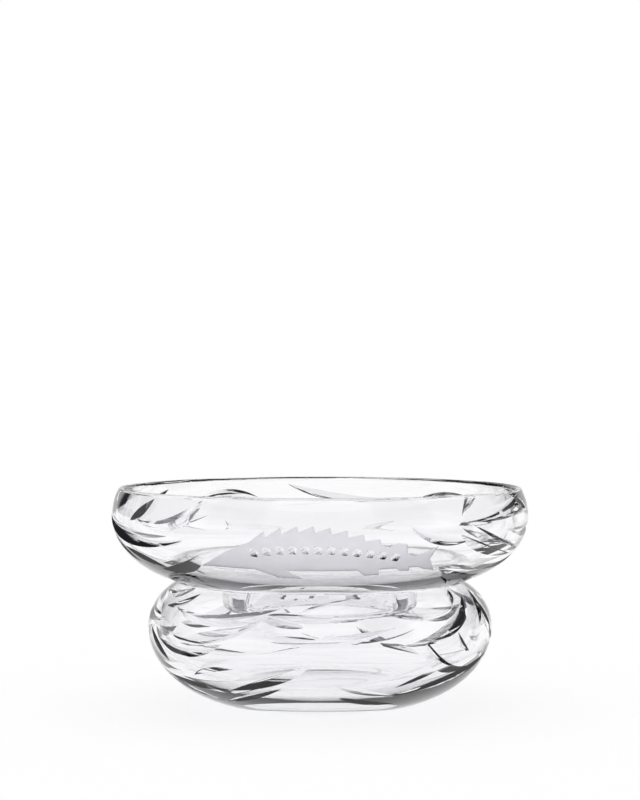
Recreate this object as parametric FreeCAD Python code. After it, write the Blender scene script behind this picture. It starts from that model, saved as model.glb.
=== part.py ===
import FreeCAD, Part
import math
import os

# Two-part caviar server in thick cut crystal, in millimetres and degrees.
# A deep ice bowl stands on its ground base. The wide, shallow caviar bowl rests on the ice bowl's rounded
# rim by its curved underside, and the foot ring under it hangs in the ice bowl's mouth. Both are round, with
# curved mitre cuts outside, and a sturgeon is engraved on the front of the caviar bowl.
# The origin is at the middle of the base, +Z is up and the engraved front faces -Y.

# Ice bowl.
ice_base_radius = 44.0
ice_belly_radius = 93.0
ice_belly_height = 43.0
ice_lower_bulge = 63.0
ice_shoulder_bulge = 33.0
ice_shoulder_rise = 28.7
ice_mouth_inset = 16.4
ice_wall = 5.5
ice_rim_wall = 3.4
ice_floor = 7.0
ice_base_ring_width = 6.0
ice_base_hollow = 0.6

# Caviar bowl. Its heights are above the lowest part of its underside.
caviar_belly_radius = 112.6
caviar_belly_height = 38.0
caviar_lower_bulge = 57.6
caviar_upper_bulge = 22.6
caviar_upper_rise = 27.0
caviar_mouth_inset = 5.0
caviar_wall = 5.5
caviar_rim_wall = 3.6
caviar_floor = 6.85

# Foot ring under the caviar bowl, and the clearance between the caviar bowl and the rim that carries it.
# The ring's fillet ends where the underside starts to curve up.
ring_wall = 11.5
ring_depth = 16.0
ring_recess = 17.0
ring_outer_round = 4.0
ring_inner_round = 2.5
ring_fillet = 2.0
ring_radius = caviar_belly_radius - caviar_lower_bulge - ring_fillet
seat_clearance = 0.1

# Mitre cuts: a steep flank and a gentle flank meet in a crease that is deepest halfway. A flank's angle is
# measured from the direction straight into the glass.
cut_depth = 2.1
steep_flank = 40.0
gentle_flank = 66.0
wheel_reach = 7.0
wheel_reach_share = 0.95
wheel_runout = 3.0

# Engraved sturgeon, ground to a small depth, with a row of small polished plates cut along its flank.
fish_length = 120.0
fish_height = 27.0
fish_middle = -0.32
fish_depth = 0.5
tooth_count = 8
tooth_height = 3.4
tooth_hook = 0.1
plate_count = 12
plate_run = 3.4
plate_drop = 4.8
plate_depth = 1.3
plate_flank = 64.0
figure_distance = 250.0

# One line for each cut, left to right as seen from outside. A tip is an azimuth in degrees, from the front
# towards +X, and a level: -1 at the bottom of the bowl, 0 at its belly and 1 where its rim starts to round.
# sag is how far the crease hangs below the straight line between its tips, as a share of that line,
# depth is a share of cut_depth, and steep is the flank that is the steep one.
ice_cuts = [
    # shoulder
    {"tips": ((-98, 0.55), (-64, 0.35)), "sag": 0.08, "depth": 1.0, "steep": "lower"},
    {"tips": ((-80, 0.86), (-60, 0.95)), "sag": 0.04, "depth": 0.5, "steep": "upper"},
    {"tips": ((-66, 0.60), (-50, 0.90)), "sag": 0.08, "depth": 0.7, "steep": "upper"},
    {"tips": ((-58, 0.60), (-11, 0.76)), "sag": 0.10, "depth": 1.2, "steep": "upper"},
    {"tips": ((-24, 0.70), (9, 0.48)), "sag": 0.07, "depth": 0.8, "steep": "lower"},
    {"tips": ((-8, 0.60), (11, 0.88)), "sag": -0.06, "depth": 0.4, "steep": "upper"},
    {"tips": ((23, 0.54), (54, 0.64)), "sag": 0.07, "depth": 0.9, "steep": "lower"},
    {"tips": ((52, 0.66), (58, 0.96)), "sag": 0.05, "depth": 0.6, "steep": "lower"},
    {"tips": ((66, 0.20), (74, 0.90)), "sag": 0.06, "depth": 0.9, "steep": "lower"},
    {"tips": ((84, 0.78), (122, 0.50)), "sag": 0.10, "depth": 1.0, "steep": "upper"},
    {"tips": ((134, 0.46), (174, 0.72)), "sag": 0.10, "depth": 1.1, "steep": "upper"},
    {"tips": ((172, 0.12), (192, 0.50)), "sag": -0.06, "depth": 0.9, "steep": "lower"},
    {"tips": ((186, 0.76), (222, 0.42)), "sag": 0.10, "depth": 1.1, "steep": "lower"},
    {"tips": ((226, 0.80), (254, 0.46)), "sag": 0.08, "depth": 0.9, "steep": "upper"},
    # belly
    {"tips": ((-75, 0.10), (-62, -0.34)), "sag": 0.05, "depth": 1.0, "steep": "lower"},
    {"tips": ((-66, -0.06), (-33, -0.04)), "sag": 0.12, "depth": 1.1, "steep": "lower"},
    {"tips": ((-60, 0.08), (-18, 0.54)), "sag": 0.12, "depth": 1.1, "steep": "lower"},
    {"tips": ((-25, 0.36), (1, 0.08)), "sag": 0.04, "depth": 0.7, "steep": "upper"},
    {"tips": ((-16, 0.02), (25, 0.30)), "sag": 0.06, "depth": 0.9, "steep": "lower"},
    {"tips": ((26, -0.05), (63, 0.82)), "sag": 0.12, "depth": 1.3, "steep": "lower"},
    {"tips": ((36, 0.00), (61, -0.38)), "sag": 0.16, "depth": 1.1, "steep": "upper"},
    {"tips": ((51, 0.10), (59, -0.20)), "sag": 0.08, "depth": 0.5, "steep": "upper"},
    {"tips": ((71, 0.80), (79, 0.02)), "sag": 0.04, "depth": 0.9, "steep": "upper"},
    {"tips": ((76, 0.10), (104, -0.24)), "sag": 0.10, "depth": 1.0, "steep": "upper"},
    {"tips": ((112, 0.20), (152, -0.08)), "sag": 0.12, "depth": 1.2, "steep": "lower"},
    {"tips": ((140, -0.30), (188, -0.40)), "sag": 0.12, "depth": 1.2, "steep": "upper"},
    {"tips": ((154, -0.12), (188, -0.16)), "sag": 0.10, "depth": 1.2, "steep": "lower"},
    {"tips": ((160, -0.14), (200, 0.22)), "sag": 0.12, "depth": 1.0, "steep": "upper"},
    {"tips": ((186, -0.36), (206, -0.18)), "sag": 0.06, "depth": 1.0, "steep": "lower"},
    {"tips": ((206, 0.10), (244, -0.14)), "sag": 0.12, "depth": 1.2, "steep": "lower"},
    {"tips": ((248, -0.16), (280, 0.10)), "sag": 0.10, "depth": 1.0, "steep": "lower"},
    # underside
    {"tips": ((-84, -0.46), (-46, -0.78)), "sag": 0.05, "depth": 0.9, "steep": "lower"},
    {"tips": ((-78, -0.50), (-36, -0.62)), "sag": 0.04, "depth": 0.9, "steep": "lower"},
    {"tips": ((-50, -0.46), (-30, -0.34)), "sag": -0.08, "depth": 0.5, "steep": "upper"},
    {"tips": ((-46, -0.80), (-14, -0.56)), "sag": 0.06, "depth": 0.8, "steep": "lower"},
    {"tips": ((-36, -0.62), (-3, -0.26)), "sag": 0.03, "depth": 1.0, "steep": "upper"},
    {"tips": ((6, -0.66), (34, -0.80)), "sag": 0.04, "depth": 0.8, "steep": "upper"},
    {"tips": ((27, -0.68), (78, -0.27)), "sag": 0.05, "depth": 1.2, "steep": "lower"},
    {"tips": ((28, -0.57), (47, -0.32)), "sag": -0.02, "depth": 0.5, "steep": "upper"},
    {"tips": ((88, -0.40), (122, -0.74)), "sag": 0.06, "depth": 1.0, "steep": "upper"},
    {"tips": ((128, -0.70), (166, -0.34)), "sag": 0.06, "depth": 1.1, "steep": "lower"},
    {"tips": ((174, -0.42), (210, -0.74)), "sag": 0.06, "depth": 1.0, "steep": "upper"},
    {"tips": ((216, -0.70), (252, -0.40)), "sag": 0.06, "depth": 1.1, "steep": "lower"},
]
caviar_cuts = [
    # upper side
    {"tips": ((-62, 0.05), (-51, 0.90)), "sag": 0.10, "depth": 0.9, "steep": "lower"},
    {"tips": ((-58, 0.14), (-33, 0.94)), "sag": 0.14, "depth": 1.1, "steep": "upper"},
    {"tips": ((40, 0.12), (72, 0.92)), "sag": 0.04, "depth": 1.1, "steep": "lower"},
    {"tips": ((46, 0.08), (77, 0.42)), "sag": 0.00, "depth": 0.9, "steep": "lower"},
    {"tips": ((67, 0.94), (78, 0.36)), "sag": 0.00, "depth": 0.7, "steep": "upper"},
    {"tips": ((86, 0.70), (114, 0.15)), "sag": 0.08, "depth": 0.8, "steep": "upper"},
    {"tips": ((127, 0.25), (151, 0.10)), "sag": -0.08, "depth": 1.0, "steep": "upper"},
    {"tips": ((160, 0.20), (190, 0.80)), "sag": 0.08, "depth": 0.8, "steep": "lower"},
    {"tips": ((199, 0.25), (220, 0.20)), "sag": -0.10, "depth": 1.0, "steep": "upper"},
    {"tips": ((232, 0.75), (262, 0.30)), "sag": 0.08, "depth": 0.9, "steep": "upper"},
    # belly
    {"tips": ((-88, 0.20), (-39, -0.20)), "sag": 0.09, "depth": 1.3, "steep": "lower"},
    {"tips": ((24, 0.07), (44, -0.20)), "sag": 0.12, "depth": 1.0, "steep": "lower"},
    {"tips": ((44, 0.03), (77, -0.41)), "sag": 0.06, "depth": 1.1, "steep": "upper"},
    {"tips": ((40, -0.12), (71, -0.47)), "sag": 0.05, "depth": 0.9, "steep": "upper"},
    {"tips": ((64, -0.14), (100, 0.08)), "sag": 0.08, "depth": 1.0, "steep": "lower"},
    {"tips": ((104, 0.00), (140, -0.28)), "sag": 0.09, "depth": 1.1, "steep": "lower"},
    {"tips": ((142, -0.20), (178, 0.06)), "sag": 0.09, "depth": 1.0, "steep": "lower"},
    {"tips": ((182, -0.38), (222, -0.22)), "sag": 0.08, "depth": 1.1, "steep": "lower"},
    {"tips": ((219, 0.10), (245, -0.16)), "sag": 0.10, "depth": 0.9, "steep": "lower"},
    # underside
    {"tips": ((-80, -0.24), (-68, -0.60)), "sag": 0.08, "depth": 1.0, "steep": "lower"},
    {"tips": ((-72, -0.37), (-52, -0.62)), "sag": 0.04, "depth": 1.0, "steep": "lower"},
    {"tips": ((-57, -0.64), (-34, -0.37)), "sag": 0.10, "depth": 1.3, "steep": "upper"},
    {"tips": ((40, -0.68), (64, -0.74)), "sag": 0.06, "depth": 1.0, "steep": "upper"},
    {"tips": ((60, -0.66), (90, -0.40)), "sag": 0.08, "depth": 1.1, "steep": "lower"},
    {"tips": ((98, -0.62), (128, -0.42)), "sag": 0.08, "depth": 1.0, "steep": "lower"},
    {"tips": ((154, -0.52), (176, -0.28)), "sag": 0.06, "depth": 0.5, "steep": "lower"},
    {"tips": ((193, -0.26), (213, -0.50)), "sag": -0.08, "depth": 0.9, "steep": "upper"},
    {"tips": ((220, -0.52), (238, -0.28)), "sag": -0.04, "depth": 0.8, "steep": "upper"},
    {"tips": ((244, -0.62), (270, -0.36)), "sag": 0.08, "depth": 1.0, "steep": "lower"},
]

# The sturgeon's outline. x runs from 0 at the snout to 1 at the tip of the tail, and y from -0.5 to 0.5 over
# the height of the figure. The first and last points of each fin lie inside the body.
snout_level = -0.30
back_arch = 0.68
belly_sag = 0.06
back_fullness = 0.85
tooth_span = (0.20, 0.76)
tail_root = (0.92, -0.12)
belly_places = (0.92, 0.7, 0.5, 0.3, 0.1)
plate_span = (0.22, 0.82)
row_drop = 0.13
row_arch = 0.45
fins = [
    [(0.20, -0.30), (0.33, -0.50), (0.42, -0.52), (0.34, -0.30)],
    [(0.64, -0.30), (0.69, -0.46), (0.75, -0.45), (0.74, -0.26)],
    [(0.80, -0.24), (0.84, -0.39), (0.88, -0.38), (0.87, -0.20)],
    [(0.76, 0.02), (0.83, 0.17), (0.87, 0.13), (0.87, -0.05)],
    [(0.89, -0.12), (1.00, 0.07), (0.965, -0.16), (0.985, -0.40), (0.93, -0.35), (0.89, -0.24)],
]

up = FreeCAD.Vector(0, 0, 1)
centre_line = FreeCAD.Vector(0, 0, 0)


def solve(function, low, high):
    """Where a function that is below zero at low and above it at high passes through zero."""
    for _ in range(50):
        middle = (low + high) / 2
        if function(middle) < 0:
            low = middle
        else:
            high = middle
    return (low + high) / 2


def outline_point(radius, height):
    """A point of a turned outline, which is drawn in the XZ plane."""
    return FreeCAD.Vector(radius, 0, height)


class Bulge:
    """An ellipse in the XZ plane. A turn on it is 0 outwards, 90 up and -90 down."""

    def __init__(self, centre_radius, centre_height, reach, rise):
        self.centre = outline_point(centre_radius, centre_height)
        self.reach = reach
        self.rise = rise

    def at(self, turn):
        angle = math.radians(turn)
        return self.centre + outline_point(self.reach * math.cos(angle), self.rise * math.sin(angle))

    def outwards(self, turn):
        angle = math.radians(turn)
        return outline_point(self.rise * math.cos(angle), self.reach * math.sin(angle)).normalize()

    def inset(self, depth):
        return Bulge(self.centre.x, self.centre.z, self.reach - depth, self.rise - depth)

    def along(self, turn):
        """The direction in which the turn grows."""
        angle = math.radians(turn)
        return outline_point(-self.reach * math.sin(angle), self.rise * math.cos(angle)).normalize()

    def turn_at_height(self, height):
        return math.degrees(math.asin((height - self.centre.z) / self.rise))

    def arc(self, start, end):
        outer = self.at(0)
        top = self.at(90)
        if self.rise > self.reach:
            curve = Part.Ellipse(top, outer, self.centre)
        else:
            curve = Part.Ellipse(outer, top, self.centre)
        first, last = sorted(curve.parameter(self.at(turn)) for turn in (start, end))
        if last - first > math.pi:
            first, last = last, first + 2 * math.pi
        return curve.toShape(first, last)


def line(*points):
    """Straight edges from each point to the next."""
    return [Part.LineSegment(a, b).toShape() for a, b in zip(points, points[1:])]


def turned(edges):
    """The solid that a closed outline sweeps about the Z axis."""
    wire = Part.Wire(Part.__sortEdges__(edges))
    return Part.Face(wire).revolve(centre_line, up, 360)


class Wall:
    """The curved wall of a bowl: two bulges outside, two inside and a full round rim between them."""

    def __init__(self, lower, upper, mouth_radius, rim_wall, wall, floor):
        self.lower = lower
        self.upper = upper
        self.bottom = lower.centre.z - lower.rise
        self.floor = self.bottom + floor
        half = rim_wall / 2
        self.rim_turn = solve(lambda turn: mouth_radius - self.rim_centre(turn, half).x, 0, 90)
        self.rim = self.rim_centre(self.rim_turn, half)
        self.rim_half = half
        self.rim_outer = upper.at(self.rim_turn)
        self.rim_top = self.rim + upper.along(self.rim_turn) * half
        self.rim_inner = self.rim - upper.outwards(self.rim_turn) * half
        across = (self.rim_inner.x - upper.centre.x) / (upper.reach - wall)
        inner_rise = (self.rim_inner.z - upper.centre.z) / math.sqrt(1 - across ** 2)
        self.inner_upper = Bulge(upper.centre.x, upper.centre.z, upper.reach - wall, inner_rise)
        self.inner_lower = Bulge(lower.centre.x, lower.centre.z, lower.reach - wall, lower.rise - floor)

    def rim_centre(self, turn, half):
        return self.upper.at(turn) - self.upper.outwards(turn) * half

    def edges(self):
        """The wall's outline from where the lower bulge starts, over the rim and down to the floor."""
        return [
            self.upper.arc(0, self.rim_turn),
            Part.Arc(self.rim_outer, self.rim_top, self.rim_inner).toShape(),
            self.inner_upper.arc(0, self.inner_upper.turn_at_height(self.rim_inner.z)),
            self.inner_lower.arc(-90, 0),
        ]

    def height(self, level):
        if level > 0:
            return self.upper.centre.z + level * (self.rim_outer.z - self.upper.centre.z)
        return self.lower.centre.z + level * self.lower.centre.z - level * self.bottom

    def level(self, height):
        belly = self.lower.centre.z
        return (height - belly) / (self.rim_outer.z - belly if height > belly else belly - self.bottom)

    def bulge(self, height):
        return self.upper if height > self.upper.centre.z else self.lower

    def radius(self, height):
        bulge = self.bulge(height)
        return bulge.at(bulge.turn_at_height(height)).x

    def outside(self, azimuth, height):
        """The outer surface's point at an azimuth and a height, and the direction out of the glass there."""
        bulge = self.bulge(height)
        turn = bulge.turn_at_height(height)
        turn_round = FreeCAD.Rotation(up, azimuth - 90)
        return turn_round.multVec(bulge.at(turn)), turn_round.multVec(bulge.outwards(turn))


def mitre(wall, tips, sag, depth, upper_flank, lower_flank):
    """The wedge that a mitre wheel takes out between two tips on the outside of a bowl."""
    start, end = [wall.outside(azimuth, wall.height(level))[0] for azimuth, level in tips]
    along = end - start
    mid_azimuth = (tips[0][0] + tips[1][0]) / 2
    mid_height = (start.z + end.z) / 2
    outwards = wall.outside(mid_azimuth, mid_height)[1]
    upwards = outwards.cross(along).normalize()
    drop = upwards * (sag * along.Length)
    shift = math.degrees(drop.dot(up.cross(outwards)) / wall.radius(mid_height))
    surface, outwards = wall.outside(mid_azimuth - shift, mid_height - drop.z)
    crease = surface - outwards * depth
    path = Part.Circle(start, crease, end)
    forwards = path.Axis.cross(crease - path.Center).normalize()
    outwards = (outwards - forwards * outwards.dot(forwards)).normalize()
    upwards = outwards.cross(forwards if forwards.dot(along) > 0 else -forwards)
    sides = [outwards + upwards * math.tan(math.radians(upper_flank)),
             outwards - upwards * math.tan(math.radians(lower_flank))]
    steepest = max(side.dot(path.Center - crease) / path.Radius for side in sides)
    opening = wheel_reach
    if steepest * opening > wheel_reach_share * path.Radius:
        opening = wheel_reach_share * path.Radius / steepest
    upper_edge, lower_edge = [crease + side * opening for side in sides]
    section = Part.Face(Part.makePolygon([crease, upper_edge, lower_edge, crease]))
    reach = max((point - path.Center).getAngle(crease - path.Center) for point in (start, end))
    sweep = math.degrees(reach + wheel_runout / path.Radius)
    section.rotate(path.Center, path.Axis, -sweep)
    return section.revolve(path.Center, path.Axis, 2 * sweep)


def mitres(wall, cuts):
    """The wedges of all the cuts in a list."""
    flanks = {"upper": (steep_flank, gentle_flank), "lower": (gentle_flank, steep_flank)}
    return [mitre(wall, cut["tips"], cut["sag"], cut["depth"] * cut_depth, *flanks[cut["steep"]])
            for cut in cuts]


def fish_back(x):
    return snout_level + back_arch * math.sin(math.pi * x ** back_fullness)


def fish_belly(x):
    return snout_level - belly_sag * math.sin(math.pi * x)


def fish_point(wall, x, y):
    """A point of the figure, in an upright plane in front of the bowl."""
    height = wall.height(fish_middle) + y * fish_height
    return FreeCAD.Vector((x - 0.5) * fish_length, -figure_distance, height)


def fish_figure(wall):
    """The sturgeon with the saw-toothed plates of its back, drawn from the front through the wall."""
    head, tail = tooth_span
    step = (tail - head) / tooth_count
    back = [(x, fish_back(x)) for x in (0, head / 2, head)]
    for tooth in range(tooth_count):
        root = head + (tooth + 1) * step
        point = root - tooth_hook * step
        back += [(point, fish_back(point) + tooth_height / fish_height), (root, fish_back(root))]
    back.append(tail_root)
    belly = [(x, fish_belly(x)) for x in belly_places]
    shapes = []
    for outline in [back + belly] + fins:
        points = [fish_point(wall, x, y) for x, y in outline]
        face = Part.Face(Part.makePolygon(points + points[:1]))
        shapes.append(face.extrude(FreeCAD.Vector(0, figure_distance, 0)))
    return shapes[0].multiFuse(shapes[1:])


def fish_recess(wall):
    """What is ground out for the figure: the skin of the bowl, within the figure's outline."""
    skins = []
    for depth in (0, fish_depth):
        lower = wall.lower.inset(depth)
        upper = wall.upper.inset(depth)
        bottom = lower.at(-90)
        top = upper.at(wall.rim_turn)
        sides = line(top, outline_point(0, top.z), outline_point(0, bottom.z), bottom)
        skins.append(turned([lower.arc(-90, 0), upper.arc(0, wall.rim_turn)] + sides))
    return fish_figure(wall).common(skins[0]).cut(skins[1])


def fish_plate_cuts(wall):
    """The small polished plates along the sturgeon's flank."""
    cuts = []
    first, last = plate_span
    for plate in range(plate_count):
        x = first + (last - first) * plate / (plate_count - 1)
        middle = fish_point(wall, x, row_arch * fish_back(x) - row_drop)
        tips = []
        for side in (-0.5, 0.5):
            azimuth = math.degrees(math.asin((middle.x + side * plate_run) / wall.radius(middle.z)))
            tips.append((azimuth, wall.level(middle.z - side * plate_drop)))
        cuts.append(mitre(wall, tips, 0.0, fish_depth + plate_depth, plate_flank, plate_flank))
    return cuts


def ice_wall_shape():
    """The ice bowl's wall, with its lower bulge cut off at the radius of the base."""
    lower_centre = ice_belly_radius - ice_lower_bulge
    upper_centre = ice_belly_radius - ice_shoulder_bulge
    base_share = (ice_base_radius - lower_centre) / ice_lower_bulge
    lower_rise = ice_belly_height / math.sqrt(1 - base_share ** 2)
    lower = Bulge(lower_centre, ice_belly_height, ice_lower_bulge, lower_rise)
    upper = Bulge(upper_centre, ice_belly_height, ice_shoulder_bulge, ice_shoulder_rise)
    floor = ice_floor + lower_rise - ice_belly_height
    mouth_radius = ice_belly_radius - ice_mouth_inset
    return Wall(lower, upper, mouth_radius, ice_rim_wall, ice_wall, floor)


def caviar_wall_shape(ice):
    """The caviar bowl's wall, lifted until its underside clears the ice bowl's rim."""
    lower_centre = caviar_belly_radius - caviar_lower_bulge
    upper_centre = caviar_belly_radius - caviar_upper_bulge
    gap = ice.rim_half + seat_clearance
    underside = Bulge(lower_centre, caviar_belly_height, caviar_lower_bulge, caviar_belly_height)
    turn = solve(lambda t: underside.at(t).x + gap * underside.outwards(t).x - ice.rim.x, -90, 0)
    lift = ice.rim.z - underside.at(turn).z - gap * underside.outwards(turn).z
    lower = Bulge(lower_centre, lift + caviar_belly_height, caviar_lower_bulge, caviar_belly_height)
    upper = Bulge(upper_centre, lift + caviar_belly_height, caviar_upper_bulge, caviar_upper_rise)
    mouth_radius = caviar_belly_radius - caviar_mouth_inset
    return Wall(lower, upper, mouth_radius, caviar_rim_wall, caviar_wall, caviar_floor)


def ice_bowl(wall):
    """The ice bowl, which stands on a flat ring round a slightly hollow middle."""
    base_turn = wall.lower.turn_at_height(0)
    ring_inner = ice_base_radius - ice_base_ring_width
    hollow_radius = (ring_inner ** 2 + ice_base_hollow ** 2) / (2 * ice_base_hollow)
    hollow = Bulge(0, ice_base_hollow - hollow_radius, hollow_radius, hollow_radius)
    floor_edge = outline_point(wall.inner_lower.centre.x, ice_floor)
    edges = [wall.lower.arc(base_turn, 0), hollow.arc(hollow.turn_at_height(0), 90)] + wall.edges()
    edges += line(floor_edge, outline_point(0, ice_floor), outline_point(0, ice_base_hollow))
    edges += line(outline_point(ring_inner, 0), outline_point(ice_base_radius, 0))
    blank = turned(edges)
    return blank.cut(mitres(wall, ice_cuts))


def foot_ring(wall):
    """The ring of the foot with the glass above it, up into the bowl's floor."""
    low = wall.bottom - ring_depth
    inner = ring_radius - ring_wall
    top = (wall.bottom + wall.floor) / 2
    outer_offset, inner_offset, root_offset = [
        size * (1 - math.sqrt(0.5)) for size in (ring_outer_round, ring_inner_round, ring_fillet)]
    outer_bend = outline_point(ring_radius - outer_offset, low + outer_offset)
    inner_bend = outline_point(inner + inner_offset, low + inner_offset)
    root_bend = outline_point(ring_radius + root_offset, wall.bottom - root_offset)
    outer_low = outline_point(ring_radius - ring_outer_round, low)
    outer_side = outline_point(ring_radius, low + ring_outer_round)
    inner_low = outline_point(inner + ring_inner_round, low)
    inner_side = outline_point(inner, low + ring_inner_round)
    root_side = outline_point(ring_radius, wall.bottom - ring_fillet)
    root_top = outline_point(ring_radius + ring_fillet, wall.bottom)
    edges = [
        Part.Arc(inner_side, inner_bend, inner_low).toShape(),
        Part.Arc(outer_low, outer_bend, outer_side).toShape(),
        Part.Arc(root_side, root_bend, root_top).toShape(),
    ]
    edges += line(inner_low, outer_low)
    edges += line(outer_side, root_side)
    root_in_floor = outline_point(ring_radius + ring_fillet, top)
    edges += line(root_top, root_in_floor, outline_point(inner, top), inner_side)
    return turned(edges)


def caviar_bowl(wall):
    axis_points = [outline_point(0, wall.floor), outline_point(0, wall.bottom)]
    ends = line(wall.inner_lower.at(-90), *axis_points, wall.lower.at(-90))
    blank = turned([wall.lower.arc(-90, 0)] + wall.edges() + ends)
    foot_middle = outline_point(0, wall.bottom - ring_depth)
    recess = Part.makeCylinder(ring_radius - ring_wall, ring_recess, foot_middle)
    body = blank.fuse(foot_ring(wall)).cut(recess).removeSplitter()
    return body.cut(mitres(wall, caviar_cuts) + [fish_recess(wall)]).cut(fish_plate_cuts(wall))


def save(name, shape):
    """Writes one piece. Two cuts that nearly meet can leave a splinter, which isn't part of it."""
    solid = max(shape.Solids, key=lambda candidate: candidate.Volume)
    box = solid.BoundBox
    size = [round(value, 1) for value in (box.XLength, box.YLength, box.ZLength)]
    print(name, "valid" if solid.isValid() else "not valid", round(solid.Volume), "mm3", size)
    solid.exportStep("parts/" + name + ".step")


os.makedirs("parts", exist_ok=True)
ice = ice_wall_shape()
caviar = caviar_wall_shape(ice)
print("caviar bowl lifted to", round(caviar.bottom, 2), "with its rim at", round(caviar.rim_top.z, 2))
save("ice_bowl", ice_bowl(ice))
save("caviar_bowl", caviar_bowl(caviar))
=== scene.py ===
import math

import bmesh
import bpy
from mathutils import Matrix, Vector


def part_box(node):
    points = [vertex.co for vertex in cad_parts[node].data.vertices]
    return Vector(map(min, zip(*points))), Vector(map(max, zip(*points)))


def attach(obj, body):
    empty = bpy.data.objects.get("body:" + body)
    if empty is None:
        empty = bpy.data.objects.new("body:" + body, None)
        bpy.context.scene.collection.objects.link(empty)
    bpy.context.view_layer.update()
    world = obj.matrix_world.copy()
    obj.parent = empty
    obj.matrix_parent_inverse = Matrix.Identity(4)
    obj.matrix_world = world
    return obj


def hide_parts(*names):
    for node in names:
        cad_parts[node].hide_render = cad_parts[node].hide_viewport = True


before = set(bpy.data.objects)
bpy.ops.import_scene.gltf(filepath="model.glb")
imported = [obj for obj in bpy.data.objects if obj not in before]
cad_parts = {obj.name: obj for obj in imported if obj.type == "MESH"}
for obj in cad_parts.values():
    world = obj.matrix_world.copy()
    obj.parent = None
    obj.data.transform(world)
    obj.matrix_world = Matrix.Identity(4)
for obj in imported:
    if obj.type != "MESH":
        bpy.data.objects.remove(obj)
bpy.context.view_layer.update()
print("frame loaded")

# Sizes are in millimetres and turns in degrees. An azimuth is measured from the front towards +X.
mm = 0.001
up = Vector((0, 0, 1))

# how finely round forms are drawn, and the turn above which an edge stays sharp
turning = {
    "steps": 288, "arcStep": 1.6, "fewestSteps": 4, "roundSteps": 8, "rimSteps": 18,
    "merge": 0.001, "sharpAbove": 8, "halvings": 50,
}


def fromHex(text):
    # an sRGB hex colour turned linear
    channels = [int(text[i:i + 2], 16) / 255 for i in (1, 3, 5)]
    linear = [c / 12.92 if c <= 0.04045 else ((c + 0.055) / 1.055) ** 2.4 for c in channels]
    return (*linear, 1)


def addNode(tree, kind, settings=None, links=None):
    # a socket is given by its name or number, and any other setting is the node's own
    node = tree.nodes.new(kind)
    for key, value in (settings or {}).items():
        if isinstance(key, int) or key in node.inputs:
            node.inputs[key].default_value = value
        else:
            setattr(node, key, value)
    for key, source in (links or {}).items():
        tree.links.new(source, node.inputs[key])
    return node


def newMaterial(name, sockets):
    material = bpy.data.materials.new(name)
    material.use_nodes = True
    shader = material.node_tree.nodes["Principled BSDF"]
    for key, value in sockets.items():
        shader.inputs[key].default_value = value
    return material, material.node_tree, shader


# the cut colour is a touch darker than the glass colour: painted shade that makes the cuts read darker
glassLook = {
    "colour": "#FEFEFF", "cutPaintedShadeColour": "#FCFCFE", "ior": 1.545,
    "waveLength": 34, "waveHeight": 0.02, "rippleLength": 4, "rippleHeight": 0.02,
}
frostLook = {
    "light": "#EAE9EF", "dark": "#DAD9E0", "roughness": 0.6, "through": 0.45,
    "cloudSize": 9, "cloudDetail": 3, "gritSize": 0.4, "gritDetail": 1, "gritHeight": 0.02,
}


def clearGlass(name, colour, waveLength, waveHeight):
    # clear glass with smooth waves over its surface
    material, tree, shader = newMaterial(name, {
        "Base Color": fromHex(colour), "Roughness": 0, "IOR": glassLook["ior"],
        "Transmission Weight": 1})
    place = addNode(tree, "ShaderNodeTexCoord")
    waves = addNode(tree, "ShaderNodeTexNoise", {"Scale": 1 / (waveLength * mm), "Detail": 0},
                    {"Vector": place.outputs["Object"]})
    bump = addNode(tree, "ShaderNodeBump", {"Strength": 1, "Distance": waveHeight * mm},
                   {"Height": waves.outputs["Fac"]})
    tree.links.new(bump.outputs["Normal"], shader.inputs["Normal"])
    return material


def firePolishedCrystal():
    # Blown lead crystal, polished in the flame. It is clear and smooth, and the broad, faint waves that
    # the blowing leaves bend the straight lines seen through it.
    return clearGlass("firePolishedCrystal", glassLook["colour"],
                      glassLook["waveLength"], glassLook["waveHeight"])


def acidPolishedCutWithPaintedShade():
    # Mitre cuts, ground by a wheel and polished in acid, with a fine ripple left by the wheel that breaks
    # up what a flank shows. Their colour is a touch darker than the rest of the glass: painted shade, so
    # that the cuts read darker.
    return clearGlass("acidPolishedCutWithPaintedShade", glassLook["cutPaintedShadeColour"],
                      glassLook["rippleLength"], glassLook["rippleHeight"])


def wheelGroundFrost():
    # The figure, ground with a stone wheel and left unpolished: an even, matt grey-white that lets some
    # light through, cloudy where the wheel pressed harder. The grit is drawn coarser than it is, so that
    # it shows.
    material, tree, shader = newMaterial("wheelGroundFrost", {
        "Roughness": frostLook["roughness"], "IOR": glassLook["ior"],
        "Transmission Weight": frostLook["through"]})
    place = addNode(tree, "ShaderNodeTexCoord")
    clouds = addNode(tree, "ShaderNodeTexNoise",
                     {"Scale": 1 / (frostLook["cloudSize"] * mm), "Detail": frostLook["cloudDetail"]},
                     {"Vector": place.outputs["Object"]})
    tone = addNode(tree, "ShaderNodeMix",
                   {"data_type": "RGBA", 6: fromHex(frostLook["dark"]), 7: fromHex(frostLook["light"])},
                   {0: clouds.outputs["Fac"]})
    grit = addNode(tree, "ShaderNodeTexNoise",
                   {"Scale": 1 / (frostLook["gritSize"] * mm), "Detail": frostLook["gritDetail"]},
                   {"Vector": place.outputs["Object"]})
    bump = addNode(tree, "ShaderNodeBump", {"Strength": 1, "Distance": frostLook["gritHeight"] * mm},
                   {"Height": grit.outputs["Fac"]})
    tree.links.new(tone.outputs[2], shader.inputs["Base Color"])
    tree.links.new(bump.outputs["Normal"], shader.inputs["Normal"])
    return material


bodyGlass = firePolishedCrystal()
cutGlass = acidPolishedCutWithPaintedShade()
groundGlass = wheelGroundFrost()
print("materials made")


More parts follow.
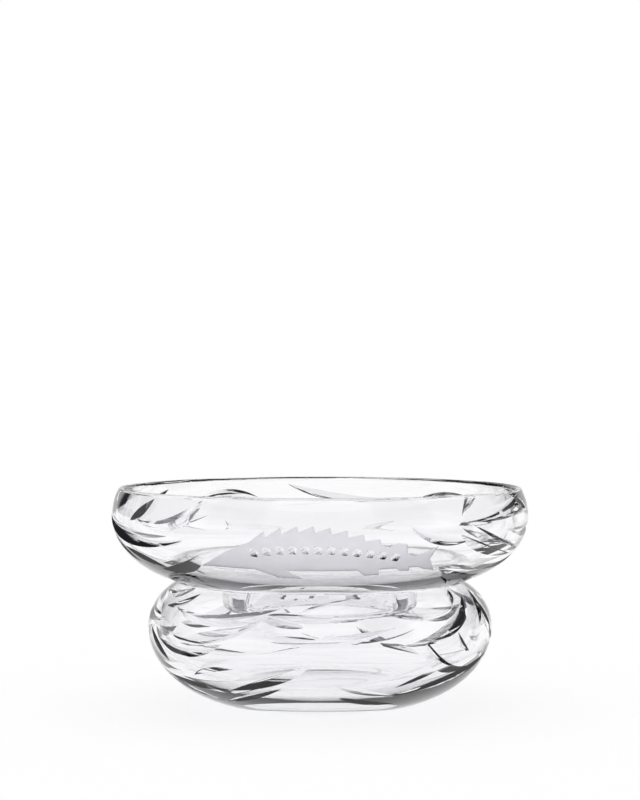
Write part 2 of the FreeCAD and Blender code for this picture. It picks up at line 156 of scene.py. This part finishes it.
def arcOf(centreRadius, centreHeight, reach, rise):
    # part of an ellipse in the XZ plane: a turn of 0 points outwards and 90 points up
    return {"centre": Vector((centreRadius, 0, centreHeight)), "reach": reach, "rise": rise}


def insetArc(arc, depth):
    return arcOf(arc["centre"].x, arc["centre"].z, arc["reach"] - depth, arc["rise"] - depth)


def onArc(arc, turn):
    angle = math.radians(turn)
    return arc["centre"] + Vector((arc["reach"] * math.cos(angle), 0, arc["rise"] * math.sin(angle)))


def outOfArc(arc, turn):
    angle = math.radians(turn)
    return Vector((arc["rise"] * math.cos(angle), 0, arc["reach"] * math.sin(angle))).normalized()


def turnAtHeight(arc, height):
    return math.degrees(math.asin((height - arc["centre"].z) / arc["rise"]))


def solve(function, low, high):
    # the place between low and high where a rising function passes zero
    for _ in range(turning["halvings"]):
        middle = (low + high) / 2
        if function(middle) < 0:
            low = middle
        else:
            high = middle
    return (low + high) / 2


def bowlWall(sizes, lift, lowerRise, floor):
    # two arcs outside, two inside and a full round rim between them
    belly = lift + sizes["bellyHeight"]
    lower = arcOf(sizes["bellyRadius"] - sizes["lowerBulge"], belly, sizes["lowerBulge"], lowerRise)
    upper = arcOf(sizes["bellyRadius"] - sizes["upperBulge"], belly,
                  sizes["upperBulge"], sizes["upperRise"])
    half = sizes["rimWall"] / 2

    def rimCentre(turn):
        return onArc(upper, turn) - outOfArc(upper, turn) * half

    rimTurn = solve(lambda turn: sizes["mouthRadius"] - rimCentre(turn).x, 0, 90)
    rim = rimCentre(rimTurn)
    rimInner = rim - outOfArc(upper, rimTurn) * half
    innerReach = upper["reach"] - sizes["wall"]
    across = (rimInner.x - upper["centre"].x) / innerReach
    innerRise = (rimInner.z - belly) / math.sqrt(1 - across ** 2)
    return {
        "lower": lower, "upper": upper, "bottom": belly - lowerRise, "rim": rim, "rimTurn": rimTurn,
        "rimHalf": half, "rimOuter": onArc(upper, rimTurn), "rimInner": rimInner,
        "innerUpper": arcOf(upper["centre"].x, belly, innerReach, innerRise),
        "innerLower": arcOf(lower["centre"].x, belly, lower["reach"] - sizes["wall"], belly - floor),
    }


def spanFromBelly(wall, above):
    # how far the bowl goes on above its belly, or below it
    belly = wall["lower"]["centre"].z
    return wall["rimOuter"].z - belly if above else belly - wall["bottom"]


def heightAt(wall, level):
    # a level is -1 at the bottom of the bowl, 0 at its belly and 1 where its rim starts to round
    return wall["lower"]["centre"].z + level * spanFromBelly(wall, level > 0)


def levelAt(wall, height):
    rise = height - wall["lower"]["centre"].z
    return rise / spanFromBelly(wall, rise > 0)


def outside(wall, azimuth, height):
    # a place on the outer face, and the way straight out of the glass there
    arc = wall["upper"] if height > wall["upper"]["centre"].z else wall["lower"]
    turn = turnAtHeight(arc, height)
    spun = Matrix.Rotation(math.radians(azimuth - 90), 3, "Z")
    return spun @ onArc(arc, turn), spun @ outOfArc(arc, turn)


# Outlines are drawn in the XZ plane, as arcs spun from one point and straight runs, and then turned.
def addArc(bm, arc, start, end, steps=None):
    steps = steps or max(turning["fewestSteps"], math.ceil(abs(end - start) / turning["arcStep"]))
    angle = math.radians(start)
    count = len(bm.verts)
    first = bm.verts.new((math.cos(angle), 0, math.sin(angle)))
    bmesh.ops.spin(bm, geom=[first], cent=(0, 0, 0), axis=(0, -1, 0), angle=math.radians(end - start),
                   steps=steps)
    bm.verts.ensure_lookup_table()
    points = bm.verts[count:]
    shape = Matrix.Translation(arc["centre"]) @ Matrix.Diagonal((arc["reach"], 1, arc["rise"], 1))
    bmesh.ops.transform(bm, matrix=shape, verts=points)
    return points


def addRun(bm, *places):
    points = [bm.verts.new((radius, 0, height)) for radius, height in places]
    for a, b in zip(points, points[1:]):
        bm.edges.new((a, b))
    return points


def addRound(bm, radius, height, size, start, end):
    return addArc(bm, arcOf(radius, height, size, size), start, end, turning["roundSteps"])


def joinRuns(bm, runs):
    for before, after in zip(runs, runs[1:]):
        bm.edges.new((before[-1], after[0]))


def wallRuns(bm, wall):
    # from the belly over the rim and down the inside to the floor
    outward = outOfArc(wall["upper"], wall["rimTurn"])
    lean = math.degrees(math.atan2(outward.z, outward.x))
    rim = arcOf(wall["rim"].x, wall["rim"].z, wall["rimHalf"], wall["rimHalf"])
    return [
        addArc(bm, wall["upper"], 0, wall["rimTurn"]),
        addArc(bm, rim, lean, lean + 180, turning["rimSteps"]),
        addArc(bm, wall["innerUpper"], turnAtHeight(wall["innerUpper"], wall["rimInner"].z), 0),
        addArc(bm, wall["innerLower"], 0, -90),
    ]


def objectFrom(name, bm, material):
    bmesh.ops.recalc_face_normals(bm, faces=bm.faces)
    bmesh.ops.scale(bm, vec=(mm, mm, mm), verts=bm.verts)
    mesh = bpy.data.meshes.new(name)
    bm.to_mesh(mesh)
    bm.free()
    mesh.materials.append(material)
    obj = bpy.data.objects.new(name, mesh)
    bpy.context.collection.objects.link(obj)
    return obj


def turned(name, bm, runs, material):
    # the runs, joined into one outline and turned about the upright axis
    joinRuns(bm, runs)
    bmesh.ops.remove_doubles(bm, verts=bm.verts, dist=turning["merge"])
    bmesh.ops.spin(bm, geom=bm.verts[:] + bm.edges[:], cent=(0, 0, 0), axis=up, angle=2 * math.pi,
                   steps=turning["steps"], use_merge=True)
    bmesh.ops.remove_doubles(bm, verts=bm.verts, dist=turning["merge"])
    return objectFrom(name, bm, material)


# Mitre cuts: a steep flank and a gentle flank meet in a crease that is deepest halfway. A flank's angle
# is measured from the line that runs straight into the glass.
cutting = {
    "depth": 2.1, "steepFlank": 40, "gentleFlank": 66, "opening": 7, "openingShare": 0.95,
    "runout": 3, "steps": 40,
}


def circleCentre(a, b, c):
    # the centre of the circle through three points
    ab = b - a
    ac = c - a
    normal = ab.cross(ac)
    towards = normal.cross(ab) * ac.length_squared + ac.cross(normal) * ab.length_squared
    return a + towards / (2 * normal.length_squared)


def creaseOf(wall, tips, sag, depth):
    # both tips of a cut, the deepest point of its crease and the way out of the glass above that point
    (leftAzimuth, leftLevel), (rightAzimuth, rightLevel) = tips
    start = outside(wall, leftAzimuth, heightAt(wall, leftLevel))[0]
    end = outside(wall, rightAzimuth, heightAt(wall, rightLevel))[0]
    along = end - start
    midAzimuth = (leftAzimuth + rightAzimuth) / 2
    midHeight = (start.z + end.z) / 2
    place, outwards = outside(wall, midAzimuth, midHeight)
    drop = outwards.cross(along).normalized() * sag * along.length
    shift = math.degrees(drop.dot(up.cross(outwards)) / place.to_2d().length)
    place, outwards = outside(wall, midAzimuth - shift, midHeight - drop.z)
    return start, end, place - outwards * depth, outwards


def mitreWedge(name, wall, tips, sag, depth, upperFlank, lowerFlank):
    # What the mitre wheel takes out, as a wedge spun along the curve of its crease. It opens only as far
    # as it stays clear of the axis that it is spun about.
    start, end, crease, outwards = creaseOf(wall, tips, sag, depth)
    axis = (start - crease).cross(end - crease).normalized()
    centre = circleCentre(start, crease, end)
    radius = (crease - centre).length
    forwards = axis.cross(crease - centre).normalized()
    outwards = (outwards - forwards * outwards.dot(forwards)).normalized()
    upwards = outwards.cross(forwards if forwards.dot(end - start) > 0 else -forwards)
    sides = [outwards + upwards * math.tan(math.radians(upperFlank)),
             outwards - upwards * math.tan(math.radians(lowerFlank))]
    towardsAxis = max(side.dot(centre - crease) / radius for side in sides)
    opening = cutting["opening"]
    if towardsAxis * opening > cutting["openingShare"] * radius:
        opening = cutting["openingShare"] * radius / towardsAxis
    bm = bmesh.new()
    section = bm.faces.new([bm.verts.new(crease + side * opening) for side in [Vector(), *sides]])
    halfTurn = max((tip - centre).angle(crease - centre) for tip in (start, end))
    halfTurn += cutting["runout"] / radius
    bmesh.ops.rotate(bm, verts=bm.verts, cent=centre, matrix=Matrix.Rotation(-halfTurn, 3, axis))
    bmesh.ops.spin(bm, geom=[section], cent=centre, axis=axis, angle=2 * halfTurn, steps=cutting["steps"])
    bmesh.ops.holes_fill(bm, edges=[edge for edge in bm.edges if edge.is_boundary], sides=3)
    return objectFrom(name, bm, cutGlass)


def mitreWedges(name, wall, cuts):
    flanks = {"upper": (cutting["steepFlank"], cutting["gentleFlank"]),
              "lower": (cutting["gentleFlank"], cutting["steepFlank"])}
    wedges = []
    for cut in cuts:
        leftAzimuth, leftLevel, rightAzimuth, rightLevel, sag, share, steep = cut
        tips = ((leftAzimuth, leftLevel), (rightAzimuth, rightLevel))
        wedges.append(mitreWedge(name + str(len(wedges)), wall, tips, sag, share * cutting["depth"],
                                 *flanks[steep]))
    return wedges


def carve(blank, cutters, operation="DIFFERENCE"):
    # each cutter works on the blank in turn and gives its finish to what it cut, and is then thrown away
    for cutter in cutters:
        modifier = blank.modifiers.new(cutter.name, "BOOLEAN")
        modifier.operation = operation
        modifier.object = cutter
        modifier.solver = "MANIFOLD"
        modifier.material_mode = "TRANSFER"
    evaluated = blank.evaluated_get(bpy.context.evaluated_depsgraph_get())
    mesh = bpy.data.meshes.new_from_object(evaluated)
    blank.modifiers.clear()
    blank.data = mesh
    for cutter in cutters:
        bpy.data.objects.remove(cutter)
    print(blank.name, "carved:", len(mesh.polygons), "faces")


# Ice bowl.
iceBowl = {
    "baseRadius": 44, "baseRingWidth": 6, "baseHollow": 0.6,
    "bellyRadius": 93, "bellyHeight": 43, "lowerBulge": 63, "upperBulge": 33, "upperRise": 28.7,
    "mouthRadius": 76.6, "rimWall": 3.4, "wall": 5.5, "floor": 7,
}

# One line for each cut, left to right as seen from outside: the azimuth and level of both tips, how far
# the crease hangs below the line between them as a share of its length, its share of the depth, and the
# steep flank.
iceCuts = [
    # shoulder
    (-98, 0.55, -64, 0.35, 0.08, 1.0, "lower"),
    (-80, 0.86, -60, 0.95, 0.04, 0.5, "upper"),
    (-66, 0.60, -50, 0.90, 0.08, 0.7, "upper"),
    (-58, 0.60, -11, 0.76, 0.10, 1.2, "upper"),
    (-24, 0.70, 9, 0.48, 0.07, 0.8, "lower"),
    (-8, 0.60, 11, 0.88, -0.06, 0.4, "upper"),
    (23, 0.54, 54, 0.64, 0.07, 0.9, "lower"),
    (52, 0.66, 58, 0.96, 0.05, 0.6, "lower"),
    (66, 0.20, 74, 0.90, 0.06, 0.9, "lower"),
    (84, 0.78, 122, 0.50, 0.10, 1.0, "upper"),
    (134, 0.46, 174, 0.72, 0.10, 1.1, "upper"),
    (172, 0.12, 192, 0.50, -0.06, 0.9, "lower"),
    (186, 0.76, 222, 0.42, 0.10, 1.1, "lower"),
    (226, 0.80, 254, 0.46, 0.08, 0.9, "upper"),
    # belly
    (-75, 0.10, -62, -0.34, 0.05, 1.0, "lower"),
    (-66, -0.06, -33, -0.04, 0.12, 1.1, "lower"),
    (-60, 0.08, -18, 0.54, 0.12, 1.1, "lower"),
    (-25, 0.36, 1, 0.08, 0.04, 0.7, "upper"),
    (-16, 0.02, 25, 0.30, 0.06, 0.9, "lower"),
    (26, -0.05, 63, 0.82, 0.12, 1.3, "lower"),
    (36, 0.00, 61, -0.38, 0.16, 1.1, "upper"),
    (51, 0.10, 59, -0.20, 0.08, 0.5, "upper"),
    (71, 0.80, 79, 0.02, 0.04, 0.9, "upper"),
    (76, 0.10, 104, -0.24, 0.10, 1.0, "upper"),
    (112, 0.20, 152, -0.08, 0.12, 1.2, "lower"),
    (140, -0.30, 188, -0.40, 0.12, 1.2, "upper"),
    (154, -0.12, 188, -0.16, 0.10, 1.2, "lower"),
    (160, -0.14, 200, 0.22, 0.12, 1.0, "upper"),
    (186, -0.36, 206, -0.18, 0.06, 1.0, "lower"),
    (206, 0.10, 244, -0.14, 0.12, 1.2, "lower"),
    (248, -0.16, 280, 0.10, 0.10, 1.0, "lower"),
    # underside
    (-84, -0.46, -46, -0.78, 0.05, 0.9, "lower"),
    (-78, -0.50, -36, -0.62, 0.04, 0.9, "lower"),
    (-50, -0.46, -30, -0.34, -0.08, 0.5, "upper"),
    (-46, -0.80, -14, -0.56, 0.06, 0.8, "lower"),
    (-36, -0.62, -3, -0.26, 0.03, 1.0, "upper"),
    (6, -0.66, 34, -0.80, 0.04, 0.8, "upper"),
    (27, -0.68, 78, -0.27, 0.05, 1.2, "lower"),
    (28, -0.57, 47, -0.32, -0.02, 0.5, "upper"),
    (88, -0.40, 122, -0.74, 0.06, 1.0, "upper"),
    (128, -0.70, 166, -0.34, 0.06, 1.1, "lower"),
    (174, -0.42, 210, -0.74, 0.06, 1.0, "upper"),
    (216, -0.70, 252, -0.40, 0.06, 1.1, "lower"),
]


def iceWall():
    centre = iceBowl["bellyRadius"] - iceBowl["lowerBulge"]
    share = (iceBowl["baseRadius"] - centre) / iceBowl["lowerBulge"]
    return bowlWall(iceBowl, 0, iceBowl["bellyHeight"] / math.sqrt(1 - share ** 2), iceBowl["floor"])


def iceBowlBlank(wall):
    ringInner = iceBowl["baseRadius"] - iceBowl["baseRingWidth"]
    radius = (ringInner ** 2 + iceBowl["baseHollow"] ** 2) / (2 * iceBowl["baseHollow"])
    hollow = arcOf(0, iceBowl["baseHollow"] - radius, radius, radius)
    bm = bmesh.new()
    return turned("iceBowlGlass", bm, [
        addArc(bm, hollow, 90, turnAtHeight(hollow, 0)),
        addRun(bm, (iceBowl["baseRadius"], 0)),
        addArc(bm, wall["lower"], turnAtHeight(wall["lower"], 0), 0),
        *wallRuns(bm, wall),
        addRun(bm, (wall["innerLower"]["centre"].x, iceBowl["floor"]), (0, iceBowl["floor"])),
    ], bodyGlass)


ice = iceWall()
iceGlass = iceBowlBlank(ice)
carve(iceGlass, mitreWedges("iceCut", ice, iceCuts))
print("ice bowl made")

# Caviar bowl. Its heights are above the lowest part of its underside, and its foot ring hangs lower.
caviarBowl = {
    "bellyRadius": 112.6, "bellyHeight": 38, "lowerBulge": 57.6, "upperBulge": 22.6, "upperRise": 27,
    "mouthRadius": 107.6, "rimWall": 3.6, "wall": 5.5, "floor": 6.85,
    "ringRadius": 53, "ringWall": 11.5, "ringDepth": 16, "ringRecess": 17,
    "ringOuterRound": 4, "ringInnerRound": 2.5, "ringFillet": 2,
}
caviarCuts = [
    # upper side
    (-62, 0.05, -51, 0.90, 0.10, 0.9, "lower"),
    (-58, 0.14, -33, 0.94, 0.14, 1.1, "upper"),
    (40, 0.12, 72, 0.92, 0.04, 1.1, "lower"),
    (46, 0.08, 77, 0.42, 0.00, 0.9, "lower"),
    (67, 0.94, 78, 0.36, 0.00, 0.7, "upper"),
    (86, 0.70, 114, 0.15, 0.08, 0.8, "upper"),
    (127, 0.25, 151, 0.10, -0.08, 1.0, "upper"),
    (160, 0.20, 190, 0.80, 0.08, 0.8, "lower"),
    (199, 0.25, 220, 0.20, -0.10, 1.0, "upper"),
    (232, 0.75, 262, 0.30, 0.08, 0.9, "upper"),
    # belly
    (-88, 0.20, -39, -0.20, 0.09, 1.3, "lower"),
    (24, 0.07, 44, -0.20, 0.12, 1.0, "lower"),
    (44, 0.03, 77, -0.41, 0.06, 1.1, "upper"),
    (40, -0.12, 71, -0.47, 0.05, 0.9, "upper"),
    (64, -0.14, 100, 0.08, 0.08, 1.0, "lower"),
    (104, 0.00, 140, -0.28, 0.09, 1.1, "lower"),
    (142, -0.20, 178, 0.06, 0.09, 1.0, "lower"),
    (182, -0.38, 222, -0.22, 0.08, 1.1, "lower"),
    (219, 0.10, 245, -0.16, 0.10, 0.9, "lower"),
    # underside
    (-80, -0.24, -68, -0.60, 0.08, 1.0, "lower"),
    (-72, -0.37, -52, -0.62, 0.04, 1.0, "lower"),
    (-57, -0.64, -34, -0.37, 0.10, 1.3, "upper"),
    (40, -0.68, 64, -0.74, 0.06, 1.0, "upper"),
    (60, -0.66, 90, -0.40, 0.08, 1.1, "lower"),
    (98, -0.62, 128, -0.42, 0.08, 1.0, "lower"),
    (154, -0.52, 176, -0.28, 0.06, 0.5, "lower"),
    (193, -0.26, 213, -0.50, -0.08, 0.9, "upper"),
    (220, -0.52, 238, -0.28, -0.04, 0.8, "upper"),
    (244, -0.62, 270, -0.36, 0.08, 1.0, "lower"),
]


def caviarWall():
    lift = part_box("caviar_bowl")[0][2] / mm + caviarBowl["ringDepth"]
    return bowlWall(caviarBowl, lift, caviarBowl["bellyHeight"], lift + caviarBowl["floor"])


def caviarBowlBlank(wall):
    low = wall["bottom"] - caviarBowl["ringDepth"]
    ceiling = low + caviarBowl["ringRecess"]
    outer = caviarBowl["ringRadius"]
    inner = outer - caviarBowl["ringWall"]
    outerRound = caviarBowl["ringOuterRound"]
    innerRound = caviarBowl["ringInnerRound"]
    fillet = caviarBowl["ringFillet"]
    floor = wall["bottom"] + caviarBowl["floor"]
    bm = bmesh.new()
    return turned("caviarBowlGlass", bm, [
        addRun(bm, (0, ceiling), (inner, ceiling)),
        addRound(bm, inner + innerRound, low + innerRound, innerRound, 180, 270),
        addRound(bm, outer - outerRound, low + outerRound, outerRound, -90, 0),
        addRound(bm, outer + fillet, wall["bottom"] - fillet, fillet, 180, 90),
        addArc(bm, wall["lower"], -90, 0),
        *wallRuns(bm, wall),
        addRun(bm, (wall["innerLower"]["centre"].x, floor), (0, floor)),
    ], bodyGlass)


caviar = caviarWall()
caviarGlass = caviarBowlBlank(caviar)

# Sturgeon. Its outline has x from 0 at the snout to 1 at the tip of the tail, and y from -0.5 to 0.5 over
# the height of the figure. The first and last points of each fin lie inside the body. The row of plates
# follows the back's arch, flattened and let down.
sturgeon = {
    "length": 120, "height": 27, "middle": -0.32, "depth": 0.5,
    "snoutLevel": -0.30, "backArch": 0.68, "backFullness": 0.85, "bellySag": 0.06,
    "teeth": 8, "toothHeight": 3.4, "toothHook": 0.1, "toothSpan": (0.20, 0.76),
    "tailRoot": (0.92, -0.12), "bellyPlaces": (0.92, 0.7, 0.5, 0.3, 0.1),
    "plates": 12, "plateRun": 3.4, "plateDrop": 4.8, "plateDepth": 1.3, "plateFlank": 64,
    "plateSpan": (0.22, 0.82), "rowDrop": 0.13, "rowArch": 0.45,
    "front": -130, "back": -60,
    "fins": [
        [(0.20, -0.30), (0.33, -0.50), (0.42, -0.52), (0.34, -0.30)],
        [(0.64, -0.30), (0.69, -0.46), (0.75, -0.45), (0.74, -0.26)],
        [(0.80, -0.24), (0.84, -0.39), (0.88, -0.38), (0.87, -0.20)],
        [(0.76, 0.02), (0.83, 0.17), (0.87, 0.13), (0.87, -0.05)],
        [(0.89, -0.12), (1.00, 0.07), (0.965, -0.16), (0.985, -0.40), (0.93, -0.35), (0.89, -0.24)],
    ],
}


def backAt(x):
    arch = math.sin(math.pi * x ** sturgeon["backFullness"])
    return sturgeon["snoutLevel"] + sturgeon["backArch"] * arch


def bellyAt(x):
    return sturgeon["snoutLevel"] - sturgeon["bellySag"] * math.sin(math.pi * x)


def figurePoint(wall, x, y):
    height = heightAt(wall, sturgeon["middle"]) + y * sturgeon["height"]
    return Vector(((x - 0.5) * sturgeon["length"], sturgeon["front"], height))


def sturgeonBody():
    head, tail = sturgeon["toothSpan"]
    step = (tail - head) / sturgeon["teeth"]
    back = [(x, backAt(x)) for x in (0, head / 2, head)]
    for tooth in range(sturgeon["teeth"]):
        root = head + (tooth + 1) * step
        point = root - sturgeon["toothHook"] * step
        tip = backAt(point) + sturgeon["toothHeight"] / sturgeon["height"]
        back += [(point, tip), (root, backAt(root))]
    return back + [sturgeon["tailRoot"]] + [(x, bellyAt(x)) for x in sturgeon["bellyPlaces"]]


def figureBlock(name, wall, outline):
    # one part of the figure, drawn from the front through the wall
    bm = bmesh.new()
    face = bm.faces.new([bm.verts.new(figurePoint(wall, x, y)) for x, y in outline])
    block = bmesh.ops.extrude_face_region(bm, geom=[face])
    moved = [item for item in block["geom"] if isinstance(item, bmesh.types.BMVert)]
    bmesh.ops.translate(bm, vec=(0, sturgeon["back"] - sturgeon["front"], 0), verts=moved)
    bmesh.ops.triangulate(bm, faces=bm.faces)
    return objectFrom(name, bm, groundGlass)


def uncutCore(wall):
    # the bowl filled up solid, without the skin that is ground away inside the figure's outline
    bm = bmesh.new()
    lower = insetArc(wall["lower"], sturgeon["depth"])
    upper = insetArc(wall["upper"], sturgeon["depth"])
    return turned("uncutCore", bm, [
        addRun(bm, (0, onArc(lower, -90).z)),
        addArc(bm, lower, -90, 0),
        addArc(bm, upper, 0, wall["rimTurn"]),
        addRun(bm, (0, onArc(upper, wall["rimTurn"]).z)),
    ], groundGlass)


def sturgeonRecess(wall):
    body = figureBlock("sturgeonRecess", wall, sturgeonBody())
    fins = [figureBlock("fin" + str(number), wall, fin) for number, fin in enumerate(sturgeon["fins"])]
    carve(body, fins, "UNION")
    carve(body, [uncutCore(wall)])
    return body


def plateWedges(wall):
    # the small slanted plates along the flank, cut through the ground skin
    wedges = []
    depth = sturgeon["depth"] + sturgeon["plateDepth"]
    flank = sturgeon["plateFlank"]
    first, last = sturgeon["plateSpan"]
    for plate in range(sturgeon["plates"]):
        x = first + (last - first) * plate / (sturgeon["plates"] - 1)
        middle = figurePoint(wall, x, sturgeon["rowArch"] * backAt(x) - sturgeon["rowDrop"])
        radius = outside(wall, 0, middle.z)[0].to_2d().length
        tips = []
        for side in (-0.5, 0.5):
            azimuth = math.degrees(math.asin((middle.x + side * sturgeon["plateRun"]) / radius))
            tips.append((azimuth, levelAt(wall, middle.z - side * sturgeon["plateDrop"])))
        wedges.append(mitreWedge("plate" + str(plate), wall, tips, 0, depth, flank, flank))
    return wedges


caviarWedges = mitreWedges("caviarCut", caviar, caviarCuts)
carve(caviarGlass, [*caviarWedges, sturgeonRecess(caviar), *plateWedges(caviar)])
print("caviar bowl made")

for piece, node in ((iceGlass, "ice_bowl"), (caviarGlass, "caviar_bowl")):
    piece.data.polygons.foreach_set("use_smooth", [True] * len(piece.data.polygons))
    piece.data.set_sharp_from_angle(angle=math.radians(turning["sharpAbove"]))
    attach(piece, "root")
    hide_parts(node)
print("pieces placed")

# Studio: a white floor and soft white light all round. Only the glass shows the rest of the room: dark
# cards out of the camera's sight, which draw its edges, a ceiling towards which the light falls off, and
# a little grey straight in front and behind, which some strokes bend into view.
studio = {
    "floorSize": 12000, "floorBelow": 0.05, "floorColour": "#FFFFFF",
    "cardAzimuth": 48, "cardHalf": 14, "cardSoft": 6, "cardColour": "#5C5962",
    "ceilingFrom": 44, "ceilingSoft": 30, "wallHalf": 14, "wallSoft": 16, "wallShade": 0.15,
    "bounces": 16, "glossyBounces": 6,
}
camera = {"distance": 1516, "height": 200.4, "focal": 126, "sensor": 36, "pitch": 1.33}


def paintedFloor():
    # a board painted matt white, without any gloss
    return newMaterial("mattWhitePaint", {
        "Base Color": fromHex(studio["floorColour"]), "Roughness": 1, "Specular IOR Level": 0})[0]


def addFloor():
    bm = bmesh.new()
    bmesh.ops.create_grid(bm, x_segments=1, y_segments=1, size=studio["floorSize"] / 2)
    bmesh.ops.translate(bm, vec=(0, 0, -studio["floorBelow"]), verts=bm.verts)
    objectFrom("studioFloor", bm, paintedFloor())


def addLight():
    world = bpy.data.worlds.new("studioWorld")
    bpy.context.scene.world = world
    world.use_nodes = True
    tree = world.node_tree
    background = tree.nodes["Background"]
    place = addNode(tree, "ShaderNodeTexCoord")
    # the room is alike on both sides, and in front and behind
    quarter = addNode(tree, "ShaderNodeVectorMath", {"operation": "ABSOLUTE"},
                      {0: place.outputs["Generated"]})
    axes = addNode(tree, "ShaderNodeSeparateXYZ", links={0: quarter.outputs[0]})
    azimuth = addNode(tree, "ShaderNodeMath", {"operation": "ARCTAN2"},
                      {0: axes.outputs["X"], 1: axes.outputs["Y"]})
    pastCard = addNode(tree, "ShaderNodeMath",
                       {"operation": "SUBTRACT", 1: math.radians(studio["cardAzimuth"])},
                       {0: azimuth.outputs[0]})
    fromCard = addNode(tree, "ShaderNodeMath", {"operation": "ABSOLUTE"}, {0: pastCard.outputs[0]})
    card = addNode(tree, "ShaderNodeMapRange", {
        "From Min": math.radians(studio["cardHalf"] + studio["cardSoft"]),
        "From Max": math.radians(studio["cardHalf"])}, {"Value": fromCard.outputs[0]})
    elevation = addNode(tree, "ShaderNodeMath", {"operation": "ARCSINE"}, {0: axes.outputs["Z"]})
    ceiling = addNode(tree, "ShaderNodeMapRange", {
        "From Min": math.radians(studio["ceilingFrom"]),
        "From Max": math.radians(studio["ceilingFrom"] + studio["ceilingSoft"])},
        {"Value": elevation.outputs[0]})
    wall = addNode(tree, "ShaderNodeMapRange", {
        "From Min": math.cos(math.radians(studio["wallHalf"] + studio["wallSoft"])),
        "From Max": math.cos(math.radians(studio["wallHalf"])), "To Max": studio["wallShade"]},
        {"Value": axes.outputs["Y"]})
    room = addNode(tree, "ShaderNodeMath", {"operation": "MAXIMUM"},
                   {0: wall.outputs[0], 1: ceiling.outputs[0]})
    dark = addNode(tree, "ShaderNodeMath", {"operation": "MAXIMUM"},
                   {0: card.outputs[0], 1: room.outputs[0]})
    # a diffuse depth under one half is none: the light that the floor gets stays white
    rays = addNode(tree, "ShaderNodeLightPath")
    glass = addNode(tree, "ShaderNodeMath", {"operation": "MAXIMUM"},
                    {0: rays.outputs["Is Glossy Ray"], 1: rays.outputs["Is Transmission Ray"]})
    direct = addNode(tree, "ShaderNodeMath", {"operation": "LESS_THAN", 1: 0.5},
                     {0: rays.outputs["Diffuse Depth"]})
    shown = addNode(tree, "ShaderNodeMath", {"operation": "MULTIPLY"},
                    {0: glass.outputs[0], 1: direct.outputs[0]})
    shade = addNode(tree, "ShaderNodeMath", {"operation": "MULTIPLY"},
                    {0: dark.outputs[0], 1: shown.outputs[0]})
    tone = addNode(tree, "ShaderNodeMix",
                   {"data_type": "RGBA", 6: (1, 1, 1, 1), 7: fromHex(studio["cardColour"])},
                   {0: shade.outputs[0]})
    tree.links.new(tone.outputs[2], background.inputs["Color"])


def addCamera():
    data = bpy.data.cameras.new("studioCamera")
    data.lens = camera["focal"]
    data.sensor_width = camera["sensor"]
    obj = bpy.data.objects.new("studioCamera", data)
    bpy.context.collection.objects.link(obj)
    obj.location = (0, -camera["distance"] * mm, camera["height"] * mm)
    obj.rotation_euler = (math.radians(90 - camera["pitch"]), 0, 0)
    bpy.context.scene.camera = obj


addFloor()
addLight()
addCamera()
scene = bpy.context.scene
scene.view_settings.view_transform = "Standard"
scene.cycles.max_bounces = studio["bounces"]
scene.cycles.transmission_bounces = studio["bounces"]
scene.cycles.glossy_bounces = studio["glossyBounces"]
scene.cycles.blur_glossy = 0
print("studio set")
